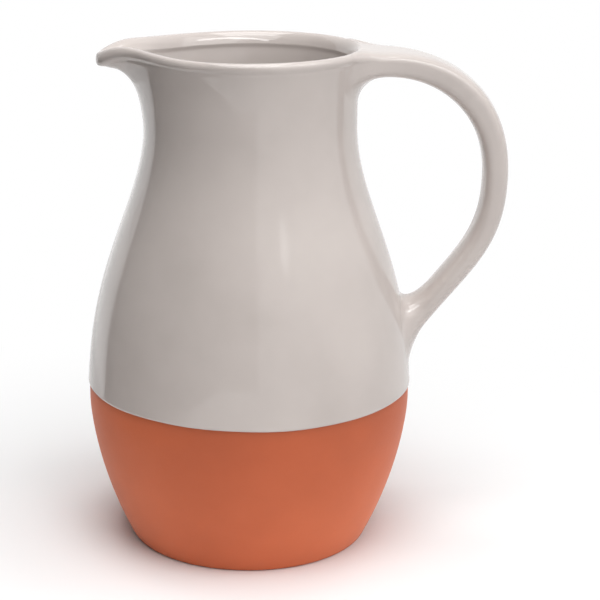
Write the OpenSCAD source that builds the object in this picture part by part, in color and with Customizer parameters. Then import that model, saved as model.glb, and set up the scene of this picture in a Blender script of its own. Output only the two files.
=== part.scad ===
// Glazed terracotta jug: a pear-shaped clay body with a pulled spout, a strap handle
// luted on with slip at both ends, and coats of glaze down to a level line.
// Millimetres, +Z up. The origin is the middle of the flat foot, the spout points
// along -X and the handle along +X.

/* [Body] */
// Height of the finished rim
height = 225; // [215:1:235]
// Diameter of the flat foot, out to where its corner would be if it were sharp
foot_d = 108; // [102:1:114]
// Lean of the wall just above the foot, in degrees from upright
foot_lean = 27; // [22:1:30]
// Diameter of the belly at its widest
belly_d = 146; // [140:1:152]
// Height of the widest part of the belly
belly_h = 66; // [60:1:70]
// Diameter of the neck at its narrowest, in bare clay
neck_d = 93; // [88:1:98]
// Height of the narrowest part of the neck
neck_h = 192; // [188:1:196]
// Diameter across the lip, in bare clay
rim_d = 99; // [97:1:103]
// Thickness of the clay wall
wall = 5; // [4:0.5:6]
// Thickness of the clay lip
lip = 3; // [2.5:0.5:4]
// Thickness of the clay floor
floor_t = 7; // [6:0.5:9]

/* [Spout] */
// How far the tip of the spout is pulled out past the rim
spout_reach = 17.5; // [14:0.5:19]
// How far the tip of the spout droops below the lip beside it
spout_droop = 6; // [4:0.5:7]
// How far the lip rises beside the spout
spout_lift = 1.2; // [0:0.2:2]
// Angle round the rim in which the pull fades to about a third, in degrees
spout_fade = 13; // [11:0.5:15]

/* [Handle] */
// Distance from the axis to the middle of the strap where it is furthest out
handle_reach = 109; // [104:1:114]
// Height at which the strap is furthest out
handle_h = 168; // [160:1:174]
// Thickness of the strap
strap_t = 10.4; // [9:0.2:12]
// Width of the strap halfway along
strap_w = 17.5; // [16:0.5:22]
// Width of the strap where it leaves the rim
strap_top_w = 38; // [32:1:40]
// Width of the strap where it meets the belly
strap_low_w = 19; // [17:1:24]

/* [Glaze] */
// Height of the level edge where the outer glaze stops
glaze_line = 73; // [66:1:78]
// Thickness of every coat of glaze
glaze_t = 0.6; // [0.4:0.1:0.8]
// Thickness of the slip that joins the handle to the body
slip_t = 1.2; // [1:0.1:1.5]

/* [Hidden] */

clay_colour = "#c4663f";
slip_colour = "#a9583a";
glaze_colour = "#c9c0ba";
$fn = 120;

// Reference radii and heights of the clay, before glaze
foot_r = foot_d / 2;
belly_r = belly_d / 2;
neck_r = neck_d / 2;
clay_top = height - glaze_t;
foot_round = 2;
rim_lean = 20;

// Steps along each stretch of the outline
foot_steps = 3;
belly_steps = 8;
shoulder_steps = 12;
collar_steps = 6;
lip_steps = 6;
floor_steps = 5;

// How strongly the outline leaves each height before it turns to the next
foot_pull = 34;
belly_pull_down = 7;
belly_pull_up = 64;
neck_pull_down = 37;
neck_pull_up = 12;
rim_pull = 10;

function unit(v) = v / norm(v);
function bezier(p, t) =
    pow(1 - t, 3) * p[0] + 3 * pow(1 - t, 2) * t * p[1]
    + 3 * (1 - t) * t * t * p[2] + pow(t, 3) * p[3];
function curve(p, steps, first = 0) = [for (i = [first:steps]) bezier(p, i / steps)];

// Direction of an upward outline at each of its points, with its two ends given
function headings(line, first, last) = [
    for (i = [0:len(line) - 1])
        i == 0 ? first : i == len(line) - 1 ? last : unit(line[i + 1] - line[i - 1])
];
// An upward outline moved sideways: out for a positive distance, in for a negative one
function moved(line, heads, distances) = [
    for (i = [0:len(line) - 1]) line[i] + distances[i] * [heads[i][1], -heads[i][0]]
];
function even(line, distance) = [for (p = line) distance];
function back(list) = [for (i = [len(list) - 1:-1:0]) list[i]];

// Outside of the clay from the foot to the neck
upright = [0, 1];
foot_way = [sin(foot_lean), cos(foot_lean)];
foot_out = [cos(foot_lean), -sin(foot_lean)];
foot_edge = [foot_r, 0] + foot_round * (1 - sin(foot_lean)) / cos(foot_lean) * foot_way;
foot_mid = foot_edge - foot_round * foot_out;
foot_arc = [
    for (i = [0:foot_steps - 1])
        let (a = -90 + (90 - foot_lean) * i / foot_steps)
        foot_mid + foot_round * [cos(a), sin(a)]
];
belly_widest = [belly_r, belly_h];
neck_narrowest = [neck_r, neck_h];
wall_line = concat(
    curve([
        foot_edge,
        foot_edge + foot_pull * foot_way,
        belly_widest - [0, belly_pull_down],
        belly_widest
    ], belly_steps),
    curve([
        belly_widest,
        belly_widest + [0, belly_pull_up],
        neck_narrowest - [0, neck_pull_down],
        neck_narrowest
    ], shoulder_steps, 1)
);
wall_heads = headings(wall_line, foot_way, upright);
function outside(distance) = moved(wall_line, wall_heads, even(wall_line, distance));
function inside(distance) = outside(-wall - distance);

// Inside from the middle of the floor up to the neck
floor_flat = 0.6;
floor_start = 2;
function bowl(distance) =
    let (
        side = inside(distance),
        level = floor_t + distance,
        joint = side[floor_start],
        flat_r = floor_flat * foot_r,
        pull = (joint[0] - flat_r) / 2,
        climb = (joint[1] - level) / 2
    )
    concat(
        [[0, level]],
        curve([
            [flat_r, level],
            [flat_r + pull, level],
            joint - climb * wall_heads[floor_start],
            joint
        ], floor_steps),
        [for (i = [floor_start + 1:len(side) - 1]) side[i]]
    );

// Collar from the neck to the lip, pulled out into the spout around -X
spout_limit = 70;
spout_sections = 12;
spout_bunching = 1.5;
plain_step = 5;
spout_tip = 5;
spout_widening = 1.1;
spout_curl = 2.3;
droop_fade = 7;
droop_curl = 4;
rim_way = [sin(rim_lean), cos(rim_lean)];
rim_edge = [rim_d / 2, clay_top - lip / 2 * (1 + sin(rim_lean))];
collar_line = curve([
    neck_narrowest,
    neck_narrowest + [0, neck_pull_up],
    rim_edge - rim_pull * rim_way,
    rim_edge
], collar_steps);
collar_walls = [for (i = [0:collar_steps]) wall + (lip - wall) * i / collar_steps];

// The collar's clay stands on the turned wall with a narrow ledge on both sides of its
// foot, which the glaze covers, so that flat and round faces don't meet along one edge
neck_ledge = 0.25;
function tucked(outline) =
    let (last = len(outline) - 1)
    [
        for (i = [0:last])
            outline[i] + [i == 0 ? -neck_ledge : i == last ? neck_ledge : 0, 0]
    ];

// The pull fades round the rim from a rounded tip and has died away at the limit;
// it grows from nothing at the neck to its full reach at the lip
function window(a) = pow(cos(90 * a / spout_limit), 2);
function fade(a, rise) =
    let (spread = spout_fade * (1 + spout_widening * (1 - rise)))
    exp((spout_tip - norm([a, spout_tip])) / spread) * window(a);
function pulled(p, a) =
    let (
        rise = (p[1] - neck_h) / (rim_edge[1] - neck_h),
        droop = spout_droop * exp(-pow(a / droop_fade, 2))
    )
    p + [
        spout_reach * fade(a, rise) * pow(rise, spout_curl),
        (spout_lift * window(a) - droop) * pow(rise, droop_curl)
    ];
function collar(a) = abs(a) >= spout_limit ? collar_line : [for (p = collar_line) pulled(p, a)];

// Outline over the lip at an angle from the spout, swollen by a distance
function over_lip(a, distance) =
    let (
        line = collar(a),
        top = unit(line[collar_steps] - line[collar_steps - 1]),
        heads = headings(line, upright, top),
        outer = moved(line, heads, even(line, distance)),
        inner = moved(line, heads, [for (w = collar_walls) -w - distance]),
        out = [top[1], -top[0]],
        middle = line[collar_steps] - lip / 2 * out,
        cap = [
            for (i = [1:lip_steps - 1])
                let (turn = 180 * i / lip_steps)
                middle + (lip / 2 + distance) * (cos(turn) * out + sin(turn) * top)
        ]
    )
    concat(outer, cap, back(inner));

// Solid skinned over closed loops of points in order: capped at both ends, or a closed ring
module loft(loops, ring = false) {
    count = len(loops[0]);
    last = len(loops) - 1;
    walls = [
        for (k = [0:ring ? last : last - 1], i = [0:count - 1])
            let (
                here = k * count,
                next = (k + 1) % len(loops) * count,
                j = (i + 1) % count
            )
            each [
                [here + i, here + j, next + j],
                [here + i, next + j, next + i]
            ]
    ];
    rungs = [
        for (i = [0:ceil(count / 2) - 2])
            let (j = count - 1 - i)
            each j - 1 > i + 1 ? [[i, j, j - 1], [i, j - 1, i + 1]] : [[i, j, j - 1]]
    ];
    ends = concat(rungs, [for (f = rungs) [for (i = [2:-1:0]) last * count + f[i]]]);
    polyhedron([for (loop = loops) each loop], concat(walls, ring ? [] : ends), convexity = 6);
}

// Angles from the spout of the collar's outlines, closer together near the spout's tip
collar_angles = concat(
    [
        for (i = [-spout_sections:spout_sections])
            spout_limit * sign(i) * pow(abs(i) / spout_sections, spout_bunching)
    ],
    [for (a = [spout_limit + plain_step:plain_step:360 - spout_limit - plain_step]) a]
);
function around(outline, a) = [
    for (p = outline) [-p[0] * cos(a), -p[0] * sin(a), p[1]]
];

// Jug filled solid out to a distance from its clay, for cutting what is joined to it
module filled(distance) {
    brim = over_lip(spout_limit, distance);
    rotate_extrude()
        polygon(concat(
            [[0, 0]],
            outside(distance),
            [for (i = [1:collar_steps + lip_steps / 2]) brim[i]],
            [[0, clay_top + distance]]
        ));
}

// Centre line of the strap, from inside the rim, round its bow, to inside the belly,
// with a straight tail at each end that the jug swallows
strap_sides = 16;
strap_steps = 14;
strap_corner = 2.6;
strap_root = 3.5;
strap_drop = 7.2;
strap_top_rise = 10.7;
strap_low_rise = 56.6;
strap_low_root = 7;
strap_low_gap = 16;
strap_top_pull = 32.3;
bow_pull_up = 38.3;
bow_pull_down = 35.2;
strap_low_pull = 46.1;
strap_top_tail = 9;
strap_low_tail = 5;
strap_top = [rim_d / 2 - strap_root, height - strap_drop];
strap_top_way = [cos(strap_top_rise), sin(strap_top_rise)];
strap_bow = [handle_reach, handle_h];
strap_low = [belly_r - strap_low_root, glaze_line + strap_low_gap];
strap_low_way = [cos(strap_low_rise), sin(strap_low_rise)];
strap_line = concat(
    [strap_top - strap_top_tail * strap_top_way],
    curve([
        strap_top,
        strap_top + strap_top_pull * strap_top_way,
        strap_bow + [0, bow_pull_up],
        strap_bow
    ], strap_steps),
    curve([
        strap_bow,
        strap_bow - [0, bow_pull_down],
        strap_low + strap_low_pull * strap_low_way,
        strap_low
    ], strap_steps, 1),
    [strap_low - strap_low_tail * strap_low_way]
);
strap_heads = headings(strap_line, strap_top_way, -strap_low_way);
// How far below the clay's surface the strap may cut the glaze on the lip
strap_bite = lip / 4;
// Width along the strap, where s runs from 0 at the rim to 1 at the belly: it narrows
// fast behind the rim and spreads slowly towards the belly
rim_narrowing = 4.8;
belly_spreading = 3;
function strap_width(s) =
    strap_w + (strap_top_w - strap_w) * pow(1 - s, rim_narrowing)
    + (strap_low_w - strap_w) * pow(s, belly_spreading);
// Distance from the middle of a rounded oblong to its edge, as a part of its half side
function rounded(x) = sign(x) * pow(abs(x), 2 / strap_corner);

// Strap handle, swollen by a distance
module strap(distance) {
    last = len(strap_line) - 1;
    loft([
        for (i = [0:last])
            let (
                out = [-strap_heads[i][1], strap_heads[i][0]],
                s = min(max(i - 1, 0) / (last - 2), 1),
                half_w = strap_width(s) / 2 + distance,
                half_t = strap_t / 2 + distance
            )
            [
                for (k = [0:strap_sides - 1])
                    let (
                        a = 360 * k / strap_sides,
                        p = strap_line[i] + half_t * rounded(cos(a)) * out
                    )
                    [p[0], half_w * rounded(sin(a)), p[1]]
            ]
    ]);
}

// Slip under the strap, between two heights
module slip_at(low, high) {
    intersection() {
        difference() {
            filled(slip_t);
            filled(0);
        }
        strap(0);
        translate([0, -belly_r, low])
            cube([2 * belly_r, belly_d, high - low]);
    }
}

// Thrown clay: floor, wall, neck and lip, with the spout pulled out of the lip
module clay_body() color(clay_colour) {
    rotate_extrude()
        polygon(concat([[0, 0]], foot_arc, outside(0), back(bowl(0))));
    loft([for (a = collar_angles) around(tucked(over_lip(a, 0)), a)], ring = true);
}

// Pulled clay strap, cut to sit on the slip at both ends
module clay_handle() color(clay_colour)
    difference() {
        strap(0);
        filled(slip_t);
    }

// Slip between the lip and the top of the strap
module upper_slip_joint() color(slip_colour) slip_at(neck_h, height);

// Slip between the belly and the foot of the strap
module lower_slip_joint() color(slip_colour) slip_at(0, neck_h);

// Outer glaze from the level line up to the neck
module body_glaze() color(glaze_colour)
    difference() {
        intersection() {
            rotate_extrude()
                polygon(concat(outside(glaze_t), back(outside(0))));
            translate([-belly_d, -belly_d, glaze_line])
                cube([2 * belly_d, 2 * belly_d, height]);
        }
        strap(0);
    }

// Glaze over the collar and lip, outside and in, with the spout
module lip_glaze() color(glaze_colour)
    difference() {
        loft([
            for (a = collar_angles)
                around(concat(over_lip(a, glaze_t), back(over_lip(a, 0))), a)
        ], ring = true);
        difference() {
            strap(0);
            filled(-strap_bite);
        }
    }

// Glaze poured over the floor and wall inside, up to the neck
module lining_glaze() color(glaze_colour)
    rotate_extrude()
        polygon(concat(bowl(0), back(bowl(glaze_t))));

// Glaze over the strap between its two roots
module handle_glaze() color(glaze_colour)
    difference() {
        strap(glaze_t);
        strap(0);
        filled(glaze_t);
    }

clay_body();
clay_handle();
upper_slip_joint();
lower_slip_joint();
body_glaze();
lip_glaze();
lining_glaze();
handle_glaze();
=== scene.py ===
import math

import bpy
import numpy as np
from mathutils import Matrix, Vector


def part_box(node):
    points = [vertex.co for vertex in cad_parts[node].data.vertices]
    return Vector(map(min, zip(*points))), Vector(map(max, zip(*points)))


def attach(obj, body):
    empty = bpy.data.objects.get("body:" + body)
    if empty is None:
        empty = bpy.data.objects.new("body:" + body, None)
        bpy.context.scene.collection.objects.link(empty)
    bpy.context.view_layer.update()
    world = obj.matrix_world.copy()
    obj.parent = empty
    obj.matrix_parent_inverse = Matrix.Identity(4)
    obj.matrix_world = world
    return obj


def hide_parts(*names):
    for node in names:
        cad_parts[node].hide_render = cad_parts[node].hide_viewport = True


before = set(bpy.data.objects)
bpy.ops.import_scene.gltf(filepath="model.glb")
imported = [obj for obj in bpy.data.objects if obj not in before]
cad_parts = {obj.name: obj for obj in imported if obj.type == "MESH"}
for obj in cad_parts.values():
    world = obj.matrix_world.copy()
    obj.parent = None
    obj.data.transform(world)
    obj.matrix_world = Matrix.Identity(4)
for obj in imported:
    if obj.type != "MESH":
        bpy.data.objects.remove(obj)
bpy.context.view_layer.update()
scene = bpy.context.scene
scene.view_settings.view_transform = "Standard"
mm = 0.001
print("frame loaded,", len(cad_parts), "nodes")

# camera, as the photograph was taken: place, lens and sensor in mm, angles in degrees
photoCamera = dict(
    place=(0.22, -782.98, 343.17), tilt=73.385, turn=-1.652, roll=0.766, lens=107.756, sensor=36,
)


def addCamera(view):
    data = bpy.data.cameras.new("photoCamera")
    data.lens = view["lens"]
    data.sensor_width = view["sensor"]
    camera = bpy.data.objects.new("photoCamera", data)
    scene.collection.objects.link(camera)
    placed = Matrix.Translation([v * mm for v in view["place"]])
    turned = Matrix.Rotation(math.radians(view["turn"]), 4, "Z")
    tilted = Matrix.Rotation(math.radians(view["tilt"]), 4, "X")
    rolled = Matrix.Rotation(math.radians(view["roll"]), 4, "Z")
    camera.matrix_world = placed @ turned @ tilted @ rolled
    scene.camera = camera


addCamera(photoCamera)
print("camera placed")


# small tools for the surfaces, all in mm

# cubic curve: four points weighted by the terms of ((1 - t) + t) cubed
def cubicCurve(p0, p1, p2, p3, t):
    t = np.asarray(t, float)[..., None]
    p0, p1, p2, p3 = (np.asarray(p, float) for p in (p0, p1, p2, p3))
    return (1 - t) ** 3 * p0 + 3 * (1 - t) ** 2 * t * p1 + 3 * (1 - t) * t**2 * p2 + t**3 * p3


# each vector over its own length, or over a least length where it has none
def unit(v, least=1e-12):
    return v / np.maximum(np.linalg.norm(v, axis=-1, keepdims=True), least)


# direction round each ring crossed with the direction across the rings;
# side is -1 for rings that run the other way
def gridNormals(points, side=1):
    alongRows = np.gradient(points, axis=0, edge_order=2)
    alongRing = np.roll(points, -1, axis=1) - np.roll(points, 1, axis=1)
    return side * unit(np.cross(alongRing, alongRows))


# rings of points joined into a skin; the ends join each other, or each closes on a middle point
def ringMesh(name, points, normals, ends="joined"):
    rows, cols = points.shape[:2]
    index = np.arange(rows * cols).reshape(rows, cols)
    across = np.roll(index, -1, axis=1)
    verts = points.reshape(-1, 3)
    shades = normals.reshape(-1, 3)
    if ends == "joined":
        quads = np.stack([index, across, np.roll(across, -1, axis=0), np.roll(index, -1, axis=0)], -1)
        faces = quads.reshape(-1, 4).tolist()
    else:
        quads = np.stack([index[:-1], across[:-1], across[1:], index[1:]], -1)
        middles = np.stack([points[0].mean(axis=0), points[-1].mean(axis=0)])
        first = np.full(cols, rows * cols)
        fans = np.concatenate([
            np.stack([first, across[0], index[0]], -1),
            np.stack([first + 1, index[-1], across[-1]], -1),
        ])
        faces = quads.reshape(-1, 4).tolist() + fans.tolist()
        verts = np.concatenate([verts, middles])
        shades = np.concatenate([shades, unit(normals[[0, -1]].mean(axis=1))])
    corners = verts[quads.reshape(-1, 4)]
    facing = np.cross(corners[:, 1] - corners[:, 0], corners[:, 2] - corners[:, 0])
    facing += np.cross(corners[:, 2] - corners[:, 0], corners[:, 3] - corners[:, 0])
    if (facing * corners.mean(axis=1)).sum() < 0:  # inside out, so every face turns round
        faces = [face[::-1] for face in faces]
    mesh = bpy.data.meshes.new(name)
    mesh.from_pydata((verts * mm).tolist(), [], faces)
    mesh.polygons.foreach_set("use_smooth", np.ones(len(mesh.polygons), bool))
    mesh.normals_split_custom_set_from_vertices(shades.tolist())
    mesh.update()
    piece = bpy.data.objects.new(name, mesh)
    scene.collection.objects.link(piece)
    return piece


# a coat or lump: front surface, then its back in reverse, as one closed skin
def coatMesh(name, front, frontNormals, back, ends="joined"):
    points = np.concatenate([front, back[::-1]])
    normals = np.concatenate([frontNormals, -frontNormals[::-1]])
    return ringMesh(name, points, normals, ends)


def place(piece, node, material):
    piece.data.materials.append(material)
    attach(piece, "root")
    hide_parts(node)
    print("made", piece.name, len(piece.data.polygons), "faces")


# materials

def newMaterial(name):
    material = bpy.data.materials.new(name)
    material.use_nodes = True
    nodes = material.node_tree.nodes
    return material, nodes, material.node_tree.links, nodes["Principled BSDF"]


def noiseNode(nodes, links, coords, scale, detail, roughness=0.5):
    noise = nodes.new("ShaderNodeTexNoise")
    noise.inputs["Scale"].default_value = scale
    noise.inputs["Detail"].default_value = detail
    noise.inputs["Roughness"].default_value = roughness
    links.new(coords, noise.inputs["Vector"])
    return noise.outputs["Fac"]


# stops: where along the value each colour stands, lowest first
def rampNode(nodes, links, value, stops):
    ramp = nodes.new("ShaderNodeValToRGB")
    elements = ramp.color_ramp.elements
    for end in (0, -1):
        elements[end].position = stops[end][0]
        elements[end].color = (*stops[end][1], 1)
    for position, colour in stops[1:-1]:
        elements.new(position).color = (*colour, 1)
    links.new(value, ramp.inputs["Fac"])
    return ramp.outputs["Color"]


def bumpNode(nodes, links, height, distance, strength, normal=None):
    bump = nodes.new("ShaderNodeBump")
    bump.inputs["Distance"].default_value = distance
    bump.inputs["Strength"].default_value = strength
    links.new(height, bump.inputs["Height"])
    if normal:
        links.new(normal, bump.inputs["Normal"])
    return bump.outputs["Normal"]


def spreadNode(nodes, links, value, low, high):
    spread = nodes.new("ShaderNodeMapRange")
    spread.inputs["To Min"].default_value = low
    spread.inputs["To Max"].default_value = high
    links.new(value, spread.inputs["Value"])
    return spread.outputs["Result"]


# bump heights in m
glazeLook = dict(
    deep=(0.520, 0.465, 0.435), plain=(0.575, 0.515, 0.485), thin=(0.615, 0.555, 0.520),
    stops=(0.25, 0.5, 0.78), cloudScale=22, cloudDetail=3, gloss=(0.05, 0.09), ior=1.5,
    rippleScale=38, rippleDetail=1, ripple=0.00035,
    peelScale=420, peelDetail=2, peel=0.00001, bumpStrength=0.5,
)


# gloss glaze: slow clouds of thickness, slow ripple and fine peel in the surface
def makeGlaze(look):
    material, nodes, links, shader = newMaterial("warmGreyGlaze")
    coords = nodes.new("ShaderNodeTexCoord").outputs["Object"]
    clouds = noiseNode(nodes, links, coords, look["cloudScale"], look["cloudDetail"])
    colours = (look["deep"], look["plain"], look["thin"])
    body = rampNode(nodes, links, clouds, list(zip(look["stops"], colours)))
    links.new(body, shader.inputs["Base Color"])
    links.new(spreadNode(nodes, links, clouds, *look["gloss"]), shader.inputs["Roughness"])
    ripple = noiseNode(nodes, links, coords, look["rippleScale"], look["rippleDetail"])
    rippled = bumpNode(nodes, links, ripple, look["ripple"], look["bumpStrength"])
    peel = noiseNode(nodes, links, coords, look["peelScale"], look["peelDetail"])
    peeled = bumpNode(nodes, links, peel, look["peel"], look["bumpStrength"], rippled)
    links.new(peeled, shader.inputs["Normal"])
    shader.inputs["IOR"].default_value = look["ior"]
    return material


# bump heights in m; the painted shade's way points up and a little to the handle, and along it, in m,
# the clay is darkest from one place and lightest by the other: painted shade high under the belly and
# towards the handle, painted light from the floor down towards the foot and the spout
clayLook = dict(
    dark=(0.520, 0.112, 0.037), plain=(0.640, 0.143, 0.047), light=(0.745, 0.182, 0.065),
    stops=(0.1, 0.5, 0.9), cloudScale=16, cloudDetail=4,
    paintedShadeWay=(0.29, 0, 1), darkFrom=0.085, lightBy=0.02, paintedShadeRange=(-0.35, 0.35),
    softness=1, roughness=(0.62, 0.78), sheen=0.12, sheenRoughness=0.4,
    grainScale=900, grainDetail=4, grainRoughness=0.65, grain=0.00006, grainStrength=0.6,
    turningScale=190, turningDetail=3, turningSquash=(0.03, 0.03, 1), turning=0.00010, turningStrength=0.5,
)


# bare clay: cloudy clay colour, darkened high up by painted shade under the belly and paled down towards the
# foot by painted light from the floor, with fine grain and turning lines round the axis
def makeClay(look, name):
    material, nodes, links, shader = newMaterial(name)
    coords = nodes.new("ShaderNodeTexCoord").outputs["Object"]
    clouds = noiseNode(nodes, links, coords, look["cloudScale"], look["cloudDetail"])
    along = nodes.new("ShaderNodeVectorMath")
    along.operation = "DOT_PRODUCT"
    along.inputs[1].default_value = look["paintedShadeWay"]
    links.new(coords, along.inputs[0])
    # painted shade and painted floor light: darker higher up and towards the handle, paler down at the foot
    # and towards the spout
    paintedShade = spreadNode(nodes, links, along.outputs["Value"], *look["paintedShadeRange"])
    paintedShade.node.inputs["From Min"].default_value = look["darkFrom"]
    paintedShade.node.inputs["From Max"].default_value = look["lightBy"]
    cloudsWithShade = nodes.new("ShaderNodeMath")  # a new one adds
    links.new(clouds, cloudsWithShade.inputs[0])
    links.new(paintedShade, cloudsWithShade.inputs[1])
    colours = (look["dark"], look["plain"], look["light"])
    body = rampNode(nodes, links, cloudsWithShade.outputs["Value"], list(zip(look["stops"], colours)))
    links.new(body, shader.inputs["Base Color"])
    shader.inputs["Diffuse Roughness"].default_value = look["softness"]
    grain = noiseNode(nodes, links, coords, look["grainScale"], look["grainDetail"], look["grainRoughness"])
    links.new(spreadNode(nodes, links, grain, *look["roughness"]), shader.inputs["Roughness"])
    squash = nodes.new("ShaderNodeMapping")  # stretched sideways, so noise runs in level lines
    squash.inputs["Scale"].default_value = look["turningSquash"]
    links.new(coords, squash.inputs["Vector"])
    lines = noiseNode(nodes, links, squash.outputs["Vector"], look["turningScale"], look["turningDetail"])
    turned = bumpNode(nodes, links, lines, look["turning"], look["turningStrength"])
    grained = bumpNode(nodes, links, grain, look["grain"], look["grainStrength"], turned)
    links.new(grained, shader.inputs["Normal"])
    shader.inputs["Sheen Weight"].default_value = look["sheen"]
    shader.inputs["Sheen Roughness"].default_value = look["sheenRoughness"]
    return material


# slip: the clay's look, its painted shade included, with finer clouds
slipLook = dict(clayLook, cloudScale=30)
glaze = makeGlaze(glazeLook)
clay = makeClay(clayLook, "firedTerracotta")
slip = makeClay(slipLook, "luteSlip")
print("materials made")


# body: three sizes from the frame, the rest as the potter's section has them;
# the holes are the innermost rings, which close on a middle point
bodyShape = dict(
    footRadius=54, footLean=27, footRound=2, footPull=34,
    bellyHeight=66, bellyPullDown=7, bellyPullUp=64, neckRadius=46.5, neckPullDown=37, neckPullUp=12,
    rimRadius=49.5, rimTop=224.4, rimLean=20, rimPull=10, wall=5, lip=3.6, lipNeck=3.5,
    bead=0.5, beadDrop=3.6, beadFade=1.2, groove=0.25, grooveDrop=1.4, grooveFade=0.8,
    floor=7, floorFlat=32, floorJoint=20, floorHole=1.5, footHole=2,
    columns=288, clayColumns=216, outlineSteps=2000,
    lipRows=16, bowlRows=19, floorRows=7, footRows=8, baseRows=11,
)
bodyShape["bellyRadius"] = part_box("clay_body")[1].y / mm
bodyShape["neckHeight"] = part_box("lip_glaze")[0].z / mm
bodyShape["glazeLine"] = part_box("body_glaze")[0].z / mm
rimLean = math.radians(bodyShape["rimLean"])
rimEdge = bodyShape["rimTop"] - bodyShape["lip"] / 2 * (1 + math.sin(rimLean))
beadEdge = rimEdge - bodyShape["beadDrop"] * math.cos(rimLean)


# outside of the clay in section: one curve from foot to belly, one to the neck, one to the lip
def clayOutline(shape):
    t = np.linspace(0, 1, shape["outlineSteps"])
    lean = math.radians(shape["footLean"])
    footWay = np.array([math.sin(lean), math.cos(lean)])
    start = np.array([shape["footRadius"], 0]) + shape["footRound"] * (1 - footWay[0]) / footWay[1] * footWay
    belly = np.array([shape["bellyRadius"], shape["bellyHeight"]])
    neck = np.array([shape["neckRadius"], shape["neckHeight"]])
    rim = np.array([shape["rimRadius"], rimEdge])
    rimWay = np.array([math.sin(rimLean), math.cos(rimLean)])
    low = cubicCurve(start, start + shape["footPull"] * footWay,
                     belly - (0, shape["bellyPullDown"]), belly, t)
    high = cubicCurve(belly, belly + (0, shape["bellyPullUp"]),
                      neck - (0, shape["neckPullDown"]), neck, t)
    collar = cubicCurve(neck, neck + (0, shape["neckPullUp"]),
                        rim - shape["rimPull"] * rimWay, rim, t)
    beyond = rim + np.array([[1.0], [2.0]]) * rimWay  # straight on, so that the rim has a slope
    return np.concatenate([low, high[1:], collar[1:], beyond])


outline = clayOutline(bodyShape)
footEdge = outline[0, 1]

# spout: pulled out of the collar, furthest at the lip
spoutShape = dict(
    reach=16.2, droop=4.6, lift=1.52, fade=10.4, limit=70, tip=8.5, widening=0.77, throat=184.2,
    curl=6, sweep=0.43, sweepCurl=1.7, droopFade=7.9, droopCurl=3.8, rimTilt=0.55,
    roll=2, rollSpread=13, rollDepth=3.2,
)


# wall: radius of the outline at each height, plus a pull that fades round the rim and down the throat
def wallSurface(height, angle):
    s = spoutShape
    radius = np.interp(height, outline[:, 1], outline[:, 0])
    rise = np.clip((height - s["throat"]) / (rimEdge - s["throat"]), 0, None)
    near = np.abs(angle) < s["limit"]
    window = np.where(near, np.cos(np.radians(90 * angle / s["limit"])) ** 2, 0)
    spread = s["fade"] * (1 + s["widening"] * (1 - np.minimum(rise, 1)))
    fade = np.exp((s["tip"] - np.hypot(angle, s["tip"])) / spread) * window
    pull = (1 - s["sweep"]) * rise ** s["curl"] + s["sweep"] * rise ** s["sweepCurl"]
    radius = radius + s["reach"] * fade * pull
    droop = s["droop"] * np.exp(-((angle / s["droopFade"]) ** 2))
    turn = np.radians(angle)
    lean = -s["rimTilt"] * np.cos(turn) * rise**2  # rim a little higher towards the handle
    height = height + (s["lift"] * window - droop) * rise ** s["droopCurl"] + lean
    return np.stack([-radius * np.cos(turn), -radius * np.sin(turn), height + 0 * angle], -1)


# wall's outward normal: its slope round the jug crossed with its slope upwards; and its way up
def wallNormals(height, angle, step=0.05):
    roundJug = wallSurface(height, angle + step) - wallSurface(height, angle - step)
    upwards = wallSurface(height + step, angle) - wallSurface(height - step, angle)
    normals = unit(np.cross(roundJug, upwards))
    return normals, unit(np.cross(normals, roundJug))


# columns round the jug: even steps less part of a sine, so closest together at the spout
def jugAngles(count, gather=0.5):
    t = np.linspace(-1, 1, count, endpoint=False)
    return 180 * (t - gather * np.sin(np.pi * t) / np.pi)


# section of radius and height pairs, turned round the jug's axis
def turnedSection(section, angles):
    turn = np.radians(angles)
    radius, height = section[:, :1], section[:, 1:]
    return np.stack([-radius * np.cos(turn), -radius * np.sin(turn), height + 0 * turn], -1)


# rows of each stretch of the skin: how many, mm to the glaze line, and powers that draw rows together
rowPlan = dict(
    low=44, lowStop=2, roll=12, rollHigh=1.2, rollPower=2, body=84, bodyStart=2.2,
    collar=44, collarPower=1.6, inside=120, insidePower=1.5,
)
rollShares = np.linspace(0, 1, rowPlan["roll"]) ** rowPlan["rollPower"]
collarShares = np.linspace(1, 0, rowPlan["collar"])[1:] ** rowPlan["collarPower"]
insideShares = np.linspace(0, 1, rowPlan["inside"]) ** rowPlan["insidePower"]
rowHeights = dict(
    low=np.linspace(footEdge, bodyShape["glazeLine"] - rowPlan["lowStop"], rowPlan["low"]),
    body=np.concatenate([
        bodyShape["glazeLine"] + rollShares * rowPlan["rollHigh"],
        np.linspace(bodyShape["glazeLine"] + rowPlan["bodyStart"], bodyShape["neckHeight"], rowPlan["body"]),
    ]),
    collar=rimEdge - (rimEdge - bodyShape["neckHeight"]) * collarShares,
    inside=beadEdge - (beadEdge - bodyShape["floorJoint"]) * insideShares,
)


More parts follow.
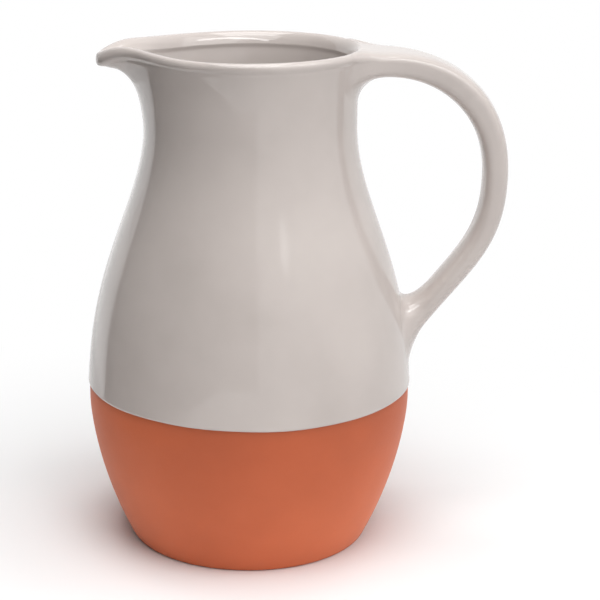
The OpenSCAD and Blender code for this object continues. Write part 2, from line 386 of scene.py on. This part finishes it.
# skin of the jug at a distance out of its clay: outside wall with a groove under the lip, lip rounded more
# deeply inside than out and rolled thick at the spout, inside wall under the lip's bead, bowl, floor
def jugSkin(angles, heights, distance):
    shape, spout = bodyShape, spoutShape
    column = angles[None, :]
    z = heights[:, None]
    normals = wallNormals(z, column)[0]
    groove = shape["groove"] * np.exp(-(((rimEdge - z - shape["grooveDrop"]) / shape["grooveFade"]) ** 2))
    roll = spout["roll"] * np.exp(-((column / spout["rollSpread"]) ** 2))
    rolled = roll * np.exp(-(((rimEdge - z) / spout["rollDepth"]) ** 2))
    outside = wallSurface(z, column) + (distance(heights)[:, None] - groove + rolled)[..., None] * normals
    # lip, half a turn from the outside to the inside
    level = distance(np.array([rimEdge]))[0]
    edge = wallSurface(np.array([[rimEdge]]), column)
    out, up = wallNormals(np.array([[rimEdge]]), column)
    turn = np.linspace(0, np.pi, shape["lipRows"] + 2)[1:-1, None]
    half = shape["lip"] / 2
    outer = turn < np.pi / 2
    sideways = np.cos(turn) * np.where(outer, half + level + roll, half + level + shape["bead"])
    sunk = np.where(outer, 0, shape["beadDrop"])
    upwards = np.sin(turn) * (half + level + sunk) - sunk + 0 * roll
    lip = edge - half * out + sideways[..., None] * out + upwards[..., None] * up
    # inside wall
    z = rowHeights["inside"][:, None]
    share = np.clip((z - shape["neckHeight"]) / (rimEdge - shape["neckHeight"]), 0, 1)
    swell = shape["lip"] + shape["bead"] - shape["lipNeck"]
    bead = swell * np.exp(-(((beadEdge - z) / shape["beadFade"]) ** 2))
    thick = shape["wall"] + (shape["lipNeck"] - shape["wall"]) * share + bead
    normals = wallNormals(z, column)[0]
    inside = wallSurface(z, column) - (thick[..., None] + level) * normals
    # bowl and floor
    joint = np.array([np.hypot(*inside[-1, 0, :2]), inside[-1, 0, 2]])
    above = np.array([np.hypot(*inside[-2, 0, :2]), inside[-2, 0, 2]])
    down = unit(joint - above)
    corner = np.array([shape["floorFlat"], shape["floor"] + level])
    reach = (joint[0] - corner[0]) / 2
    bowl = cubicCurve(joint, joint + down * (joint[1] - corner[1]) / 2, corner + (reach, 0), corner,
                      np.linspace(0, 1, shape["bowlRows"] + 1)[1:])
    inwards = np.linspace(corner[0], shape["floorHole"], shape["floorRows"] + 1)[1:]
    flat = np.stack([inwards, np.full_like(inwards, corner[1])], -1)
    floor = turnedSection(np.concatenate([bowl, flat]), angles)
    return np.concatenate([outside, lip, inside, floor])


# glaze coats: one skin over the clay, cut at the neck outside and inside;
# waves of the lower edge: how many round the jug, how high, and where they start
coatShape = dict(
    thick=0.6, bead=0.25, beadFade=3.5, roll=1.2, embed=0.12,
    wander=0.22, wanderFade=6, waves=((2, 1, 0.6), (5, 0.6, 2.1), (11, 0.35, 4)),
)


# glaze thickness: a bead that fades upwards, rolled round to nothing at the lower edge
def coatThickness(height):
    over = height - bodyShape["glazeLine"]
    roll = np.sqrt(np.clip(1 - (1 - np.clip(over / coatShape["roll"], 0, 1)) ** 2, 0, 1))
    return (coatShape["thick"] + coatShape["bead"] * np.exp(-over / coatShape["beadFade"])) * roll


def coatBack(height):
    return np.full_like(height, -coatShape["embed"])


def bareClay(height):
    return np.zeros_like(height)


# lower edge of the coat wanders a little up and down round the jug, dying out upwards
def wandering(points, angles):
    turn = np.radians(angles)
    wave = sum(high * np.sin(count * turn + start) for count, high, start in coatShape["waves"])
    over = np.clip(points[..., 2] - bodyShape["glazeLine"], 0, None)
    moved = points.copy()
    moved[..., 2] += coatShape["wander"] * wave * np.exp(-over / coatShape["wanderFade"])
    return moved


angles = jugAngles(bodyShape["columns"])
coatHeights = np.concatenate([rowHeights["body"], rowHeights["collar"]])
coatFront = jugSkin(angles, coatHeights, coatThickness)
coatRear = jugSkin(angles, coatHeights, coatBack)
bodyRows = len(rowHeights["body"])
coatFront[:bodyRows] = wandering(coatFront[:bodyRows], angles)
coatRear[:bodyRows] = wandering(coatRear[:bodyRows], angles)
coatNormals = gridNormals(coatFront)
outsideSeam = bodyRows - 1
insideTop = len(coatHeights) + bodyShape["lipRows"]
insideSeam = insideTop + int(np.argmin(np.abs(rowHeights["inside"] - bodyShape["neckHeight"])))

bodyCoat = slice(0, outsideSeam + 1)
lipCoat = slice(outsideSeam, insideSeam + 1)
liningCoat = slice(insideSeam, None)
piece = coatMesh("bodyGlaze", coatFront[bodyCoat], coatNormals[bodyCoat], coatRear[bodyCoat])
place(piece, "body_glaze", glaze)
piece = coatMesh("lipGlaze", coatFront[lipCoat], coatNormals[lipCoat], coatRear[lipCoat])
place(piece, "lip_glaze", glaze)
piece = coatMesh("liningGlaze", coatFront[liningCoat][::-1], coatNormals[liningCoat][::-1],
                 coatRear[liningCoat][::-1], ends="middles")
place(piece, "lining_glaze", glaze)
print("glaze coats done")


# clay body: the bare skin, closed by the rounded foot and the flat underside
def clayPoints(shape):
    angles = jugAngles(shape["clayColumns"])
    coated = [rowHeights["body"][::2], rowHeights["collar"][::2]]  # every other row under the glaze
    skin = jugSkin(angles, np.concatenate([rowHeights["low"], *coated]), bareClay)
    lean = math.radians(shape["footLean"])
    middle = outline[0] - shape["footRound"] * np.array([math.cos(lean), -math.sin(lean)])
    turn = np.linspace(-np.pi / 2, -lean, shape["footRows"] + 1)[:-1, None]
    foot = middle + shape["footRound"] * np.concatenate([np.cos(turn), np.sin(turn)], -1)
    outwards = np.linspace(shape["footHole"], foot[0, 0], shape["baseRows"] + 1)[:-1]
    base = np.stack([outwards, np.zeros_like(outwards)], -1)
    underside = turnedSection(np.concatenate([base, foot]), angles)
    return np.concatenate([underside, skin])


points = clayPoints(bodyShape)
piece = ringMesh("clayBody", points, gridNormals(points), ends="middles")
place(piece, "clay_body", clay)
print("clay body done")


# handle: a strap carried along two cubic curves, its ends rounded off onto the lip and the belly
handleShape = dict(
    top=(46, 217.76), topRise=10.66, topPull=32.34, bow=(109.24, 168.37), bowPullUp=38.27, bowPullDown=35.16,
    low=(66, 89.04), lowRise=56.59, lowPull=46.1, thick=(10.49, 11.1, 10.3), wide=(39, 18.5, 20),
    shoulder=1.5, shoulderAt=0.29, shoulderLong=0.13, corner=(5.5, 2.8, 2.4), narrowing=4.8, spreading=3,
    sides=120, rows=120, rootRows=28, meetSteps=600, lineStep=1e-4, rootStep=1e-3,
    glaze=0.6, clayLap=0.02, coatBite=0.004, clayBite=0.01, sink=0.012,
)


# path of the strap's middle: s runs from 0 at the rim, over the bow half way, to 1 at the belly,
# and below 0 the path goes straight on
def handleLine(shape, s):
    top, bow, low = (np.array(shape[k], float) for k in ("top", "bow", "low"))
    rise = math.radians(shape["topRise"])
    fall = math.radians(shape["lowRise"])
    topPull = shape["topPull"] * np.array([math.cos(rise), math.sin(rise)])
    lowPull = shape["lowPull"] * np.array([math.cos(fall), math.sin(fall)])
    upper = cubicCurve(top, top + topPull, bow + (0, shape["bowPullUp"]), bow, np.clip(2 * s, 0, 1))
    upper = upper + 3 * np.minimum(2 * s, 0)[..., None] * topPull  # a cubic sets out at 3 times its pull
    lower = cubicCurve(bow, bow - (0, shape["bowPullDown"]), low + lowPull, low, np.clip(2 * s - 1, 0, 1))
    return np.where((s < 0.5)[..., None], upper, lower)


# value given at the rim, half way and at the belly, held near the middle and changing to the ends
def alongStrap(shape, key, s):
    start, middle, end = shape[key]
    toStart = (start - middle) * (1 - s) ** shape["narrowing"]
    return middle + toStart + (end - middle) * s ** shape["spreading"]


# strap: a rounded oblong round the path, its sides the power 2/corner of a circle's,
# thickest at its shoulder
def strapPoints(shape, s, turn, inset=0):
    step = shape["lineStep"]
    line = handleLine(shape, s)
    way = unit(handleLine(shape, s + step) - handleLine(shape, s - step))
    power = 2 / alongStrap(shape, "corner", s)
    shoulder = shape["shoulder"] * np.exp(-(((s - shape["shoulderAt"]) / shape["shoulderLong"]) ** 2))
    thick = alongStrap(shape, "thick", s) + shoulder
    wide = alongStrap(shape, "wide", s)
    across = np.sign(np.cos(turn)) * np.abs(np.cos(turn)) ** power * (thick / 2 - inset)
    aside = np.sign(np.sin(turn)) * np.abs(np.sin(turn)) ** power * (wide / 2 - inset)
    return np.stack([line[..., 0] - across * way[..., 1], aside, line[..., 1] + across * way[..., 0]], -1)


# jug's finished outside under the handle, which is column 0, from the glaze line over the lip
sideRadius = coatFront[:insideTop, 0, 0]
sideHeight = coatFront[:insideTop, 0, 2]
sideWalk = np.concatenate([[0], np.cumsum(np.hypot(np.diff(sideRadius), np.diff(sideHeight)))])
crest = int(np.argmax(sideHeight))


# place on the jug: walk is the way up its side in mm, angle is round its axis
def jugSide(walk, angle):
    radius = np.interp(walk, sideWalk, sideRadius)
    height = np.interp(walk, sideWalk, sideHeight)
    return np.stack([radius * np.cos(angle), radius * np.sin(angle), height], -1)


# where each line along the strap goes into the jug, on the way from half way to one end
def strapMeets(shape, turn, end):
    s = np.linspace(0.5, end, shape["meetSteps"])
    points = strapPoints(shape, s[:, None], turn)
    wall = np.interp(points[..., 2], sideHeight[: crest + 1], sideRadius[: crest + 1])
    outside = np.hypot(points[..., 0], points[..., 1]) - wall
    inside = np.argmax(outside < 0, axis=0)
    line = np.arange(len(turn))
    before, after = outside[inside - 1, line], outside[inside, line]
    return s[inside - 1] + (s[inside] - s[inside - 1]) * before / (before - after)


# roots: how far off the jug each side of the strap starts to spread, and how far along the jug it lands
topRoot = dict(
    end=-0.08, pull=0.66,
    leaves=dict(outer=13, side=14, inner=19), lands=dict(outer=2.6, side=8, inner=12),
)
lowRoot = dict(
    end=1, pull=0.5,
    leaves=dict(outer=13, side=15, inner=24), lands=dict(outer=8, side=10, inner=11),
)


# values for the strap's outer face, sides and inner face, shared out by the squares of cosine and sine
def roundStrap(values, turn):
    outer = np.clip(np.cos(turn), 0, 1) ** 2
    inner = np.clip(-np.cos(turn), 0, 1) ** 2
    return values["outer"] * outer + values["inner"] * inner + values["side"] * np.sin(turn) ** 2


# root: cubic curves that leave the strap along its lines and land on the jug along its surface
def rootSkin(shape, root, turn):
    meets = strapMeets(shape, turn, root["end"])
    corner = strapPoints(shape, meets, turn)
    radius = np.hypot(corner[:, 0], corner[:, 1])
    walk = np.interp(corner[:, 2], sideHeight[: crest + 1], sideWalk[: crest + 1])
    flat = np.stack([walk, np.arctan2(corner[:, 1], corner[:, 0]) * radius], -1)
    around = np.roll(flat, -1, axis=0) - np.roll(flat, 1, axis=0)
    away = unit(np.stack([around[:, 1], -around[:, 0]], -1))
    away *= np.sign(((flat - flat.mean(axis=0)) * away).sum(axis=-1, keepdims=True))
    step = shape["rootStep"]
    toEnd = 1 if root["end"] > 0.5 else -1
    speed = np.linalg.norm(strapPoints(shape, meets - toEnd * step, turn) - corner, axis=-1) / step
    leaves = roundStrap(root["leaves"], turn)
    lands = roundStrap(root["lands"], turn)
    starts = meets - toEnd * leaves / speed
    leave = strapPoints(shape, starts, turn)
    leaveWay = unit(strapPoints(shape, starts + toEnd * step, turn) - leave)
    near, far = (flat + (lands + shift)[:, None] * away for shift in (-step, step))
    landNear, landFar = (jugSide(spot[:, 0], spot[:, 1] / radius) for spot in (near, far))
    landWay = unit(landFar - landNear)
    out = unit(np.cross(landWay, np.cross(corner * (1, 1, 0), landWay)))
    land = (landNear + landFar) / 2 - shape["sink"] * out
    t = np.linspace(0, 1, shape["rootRows"])[:, None]
    off = root["pull"] * leaves[:, None] * leaveWay
    onto = root["pull"] * lands[:, None] * landWay
    return cubicCurve(leave, leave + off, land - onto, land, t), starts


# upper root, strap and lower root in one run of rings
def handleSkin(shape, turn):
    upper, first = rootSkin(shape, topRoot, turn)
    lower, last = rootSkin(shape, lowRoot, turn)
    share = np.linspace(0, 1, shape["rows"])[1:-1, None]
    strap = strapPoints(shape, first + (last - first) * share, turn)
    return np.concatenate([upper[::-1], strap, lower])


# strap under the coat, from just inside the jug's wall at one end to just inside it at the other
def innerStrap(shape, turn, rows, bite, inset):
    first = strapMeets(shape, turn, topRoot["end"]) - bite
    last = strapMeets(shape, turn, lowRoot["end"]) + bite
    share = np.linspace(0, 1, rows)[:, None]
    return strapPoints(shape, first + (last - first) * share, turn, inset)


strapTurn = np.linspace(0, 2 * np.pi, handleShape["sides"], endpoint=False)
front = handleSkin(handleShape, strapTurn)
rear = innerStrap(handleShape, strapTurn, len(front), handleShape["coatBite"], handleShape["glaze"])
piece = coatMesh("handleGlaze", front, gridNormals(front, -1), rear)
place(piece, "handle_glaze", glaze)

points = innerStrap(handleShape, strapTurn, handleShape["rows"], handleShape["clayBite"],
                    handleShape["glaze"] - handleShape["clayLap"])
piece = ringMesh("clayHandle", points, gridNormals(points, -1), ends="middles")
place(piece, "clay_handle", clay)
print("handle done")


# slip pads: thin lenses between the strap's ends and the jug, each given by
# the height of its middle, half its height and half its width
slipShape = dict(
    thick=1.2, sunk=0.1, rings=10, sides=48, innermost=0.05,
    upper=(217.8, 4.0, 15.0), lower=(96.5, 5.5, 7.0),
)


# pad: an oval on the jug's wall, highest in the middle and falling to nothing at its edge
def slipPad(name, shape, oval):
    height, halfHigh, halfWide = oval
    out = np.linspace(1, shape["innermost"], shape["rings"])[:, None]
    turn = np.linspace(0, 2 * np.pi, shape["sides"], endpoint=False)[None, :]
    z = height + halfHigh * out * np.cos(turn)
    radius = np.interp(z, outline[:, 1], outline[:, 0])
    around = halfWide * out * np.sin(turn) / radius
    over = radius + shape["thick"] * np.sqrt(1 - out**2)
    below = radius - shape["sunk"]
    top = np.stack([over * np.cos(around), over * np.sin(around), z], -1)
    under = np.stack([below * np.cos(around), below * np.sin(around), z], -1)
    return coatMesh(name, top[::-1], gridNormals(top[::-1]), under[::-1], ends="middles")


piece = slipPad("upperSlip", slipShape, slipShape["upper"])
place(piece, "upper_slip_joint", slip)
piece = slipPad("lowerSlip", slipShape, slipShape["lower"])
place(piece, "lower_slip_joint", slip)
print("slip done")


# studio, in m: pale floor that goes white away from the jug, a drape in front and to the left, soft lamps
floorLook = dict(
    colour=(0.90, 0.90, 0.90), left=-0.27, right=1.6, front=-0.86, back=1.6, whiteFrom=0.1, whiteBy=0.3,
)


# ray seen by the camera, or by way of gloss or glass: 1, else 0
def seenRay(nodes, links):
    path = nodes.new("ShaderNodeLightPath")
    total = path.outputs["Is Camera Ray"]
    for other in ("Is Glossy Ray", "Is Transmission Ray"):
        most = nodes.new("ShaderNodeMath")
        most.operation = "MAXIMUM"
        links.new(total, most.inputs[0])
        links.new(path.outputs[other], most.inputs[1])
        total = most.outputs[0]
    return total


# matt cloth or paper, with no gloss at all
def mattMaterial(name):
    material, nodes, links, shader = newMaterial(name)
    shader.inputs["Roughness"].default_value = 1
    shader.inputs["Specular IOR Level"].default_value = 0
    return material, nodes, links, shader


def addFloor(look):
    left, right, front, back = (look[k] for k in ("left", "right", "front", "back"))
    corners = [(left, front, 0), (right, front, 0), (right, back, 0), (left, back, 0)]
    mesh = bpy.data.meshes.new("floor")
    mesh.from_pydata(corners, [], [(0, 1, 2, 3)])
    floor = bpy.data.objects.new("floor", mesh)
    scene.collection.objects.link(floor)
    material, nodes, links, shader = mattMaterial("paleFloor")
    shader.inputs["Base Color"].default_value = (*look["colour"], 1)
    glow = nodes.new("ShaderNodeEmission")
    away = nodes.new("ShaderNodeVectorMath")
    away.operation = "LENGTH"
    links.new(nodes.new("ShaderNodeTexCoord").outputs["Object"], away.inputs[0])
    fade = nodes.new("ShaderNodeMapRange")
    fade.interpolation_type = "SMOOTHSTEP"
    fade.inputs["From Min"].default_value = look["whiteFrom"]
    fade.inputs["From Max"].default_value = look["whiteBy"]
    links.new(away.outputs["Value"], fade.inputs["Value"])
    both = nodes.new("ShaderNodeMath")
    both.operation = "MULTIPLY"
    links.new(fade.outputs["Result"], both.inputs[0])
    links.new(seenRay(nodes, links), both.inputs[1])
    mix = nodes.new("ShaderNodeMixShader")
    links.new(both.outputs[0], mix.inputs["Fac"])
    links.new(shader.outputs["BSDF"], mix.inputs[1])
    links.new(glow.outputs["Emission"], mix.inputs[2])
    links.new(mix.outputs["Shader"], nodes["Material Output"].inputs["Surface"])
    floor.data.materials.append(material)


addFloor(floorLook)

# drape: part of a sphere round the jug, dark at its left end and grey in front;
# degrees from the camera's side
drapeLook = dict(
    left=-121, right=6, low=-40, high=70, radius=2.4, columns=60, rows=28, middle=0.1,
    stops=[(0.0, (0.02, 0.02, 0.02)), (0.25, (0.03, 0.03, 0.03)), (1.0, (0.6, 0.6, 0.6))],
)


def addDrape(look):
    turn = np.radians(np.linspace(look["left"], look["right"], look["columns"]))[None, :]
    rise = np.radians(np.linspace(look["low"], look["high"], look["rows"]))[:, None]
    level = np.cos(rise)
    sphere = np.stack([level * np.sin(turn), -level * np.cos(turn), np.sin(rise) + 0 * turn], -1)
    verts = look["radius"] * sphere + (0, 0, look["middle"])
    index = np.arange(verts.size // 3).reshape(verts.shape[:2])
    faces = np.stack([index[:-1, :-1], index[:-1, 1:], index[1:, 1:], index[1:, :-1]], -1)
    mesh = bpy.data.meshes.new("drape")
    mesh.from_pydata(verts.reshape(-1, 3).tolist(), [], faces.reshape(-1, 4).tolist())
    share = mesh.attributes.new("share", "FLOAT", "POINT")  # 0 at the left end, 1 at the right end
    share.data.foreach_set("value", np.tile(np.linspace(0, 1, look["columns"]), look["rows"]))
    drape = bpy.data.objects.new("drape", mesh)
    scene.collection.objects.link(drape)
    material, nodes, links, shader = mattMaterial("drapeCloth")
    along = nodes.new("ShaderNodeAttribute")
    along.attribute_name = "share"
    links.new(rampNode(nodes, links, along.outputs["Fac"], look["stops"]), shader.inputs["Base Color"])
    drape.data.materials.append(material)
    drape.visible_camera = False


addDrape(drapeLook)

# lamps: angle round the jug from the camera's side, height angle, distance and size in m, watts,
# and whether matt surfaces see it too or only gloss does; all point at one height on the axis
lampAim = 0.13
lamps = dict(
    keyRight=dict(turn=58, rise=42, away=1.7, size=(1.9, 1.1), power=11.2, matt=True),
    overhead=dict(turn=0, rise=88, away=1.8, size=(1.2, 1.2), power=21.5, matt=True),
    topFront=dict(turn=-5, rise=60, away=1.8, size=(1.4, 0.9), power=11.5, matt=True),
    topStrip=dict(turn=26, rise=54, away=1.7, size=(2.4, 0.2), power=13, matt=False),
    backLow=dict(turn=-150, rise=-9, away=1.9, size=(1.7, 0.7), power=1.2, matt=True),
)


def addLamp(name, lamp):
    data = bpy.data.lights.new(name, "AREA")
    data.shape = "RECTANGLE"
    data.size, data.size_y = lamp["size"]
    data.energy = lamp["power"]
    light = bpy.data.objects.new(name, data)
    light.visible_camera = False
    light.visible_diffuse = lamp["matt"]
    scene.collection.objects.link(light)
    aimed = Matrix.Translation((0, 0, lampAim))
    turned = Matrix.Rotation(math.radians(lamp["turn"]), 4, "Z")
    raised = Matrix.Rotation(math.pi / 2 - math.radians(lamp["rise"]), 4, "X")
    light.matrix_world = aimed @ turned @ raised @ Matrix.Translation((0, 0, lamp["away"]))


for name, lamp in lamps.items():
    addLamp(name, lamp)

worldLook = dict(colour=(1, 1, 1), light=0.25, seen=1)


# room: white where it is seen, dimmer where it only lights
def addWorld(look):
    world = bpy.data.worlds.new("whiteStudio")
    world.use_nodes = True
    nodes, links = world.node_tree.nodes, world.node_tree.links
    light, seen = nodes["Background"], nodes.new("ShaderNodeBackground")
    for sky, strength in ((light, look["light"]), (seen, look["seen"])):
        sky.inputs["Color"].default_value = (*look["colour"], 1)
        sky.inputs["Strength"].default_value = strength
    mix = nodes.new("ShaderNodeMixShader")
    links.new(seenRay(nodes, links), mix.inputs["Fac"])
    links.new(light.outputs["Background"], mix.inputs[1])
    links.new(seen.outputs["Background"], mix.inputs[2])
    links.new(mix.outputs["Shader"], nodes["World Output"].inputs["Surface"])
    scene.world = world


addWorld(worldLook)
print("studio lit")
